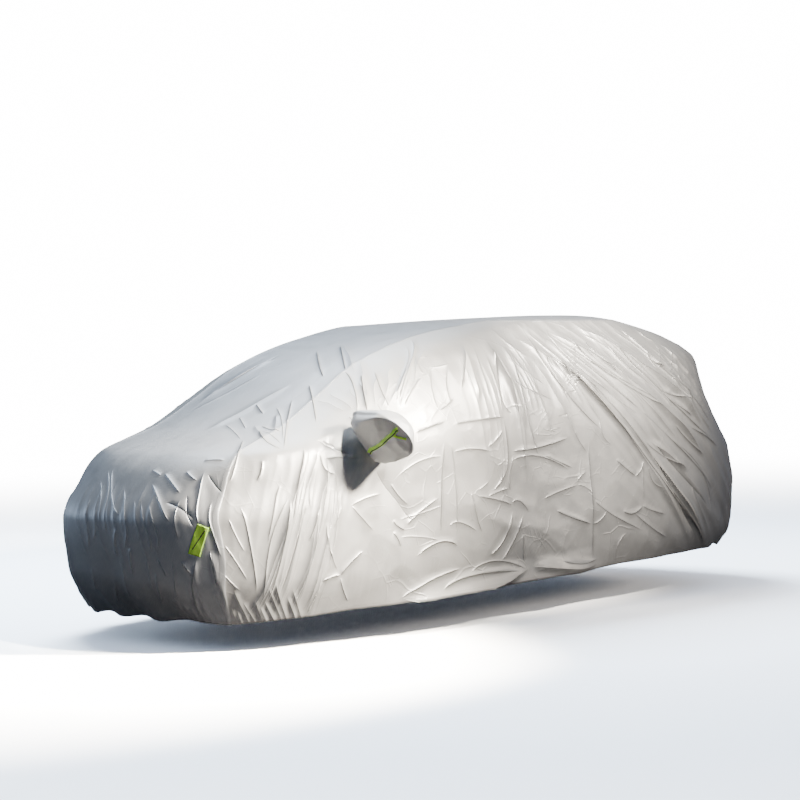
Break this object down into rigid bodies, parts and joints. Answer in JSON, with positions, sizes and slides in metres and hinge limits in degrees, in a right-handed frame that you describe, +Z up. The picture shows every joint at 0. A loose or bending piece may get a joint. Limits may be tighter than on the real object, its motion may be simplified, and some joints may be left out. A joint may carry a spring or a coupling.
{
  "type": "car cover",
  "caption": "Fitted silver cloth cover for a medium hatchback, hollow and open below, with a gathered elastic hem, mirror pouches and reflective tape.",
  "frame": {"origin": "underside of the roof cloth, above the middle of the car's roof, where the car carries the cover", "axes": "+X towards the covered car's nose, +Y to its left, +Z up"},
  "size_m": [4.1466, 2.0974, 1.4339],
  "materials": {
    "silver_cloth": "silver-coated woven polyester with a soft metallic sheen",
    "reflective_tape": "yellow-green reflective tape"
  },
  "bodies": {
    "root": {"centre_panel": "silver_cloth", "left_side_panel": "silver_cloth", "right_side_panel": "silver_cloth", "mirror_pocket_left": "silver_cloth", "mirror_pocket_right": "silver_cloth", "pocket_tape_left": "reflective_tape", "pocket_tape_right": "reflective_tape", "corner_patch_left": "reflective_tape", "corner_patch_right": "reflective_tape"}
  },
  "joints": []
}
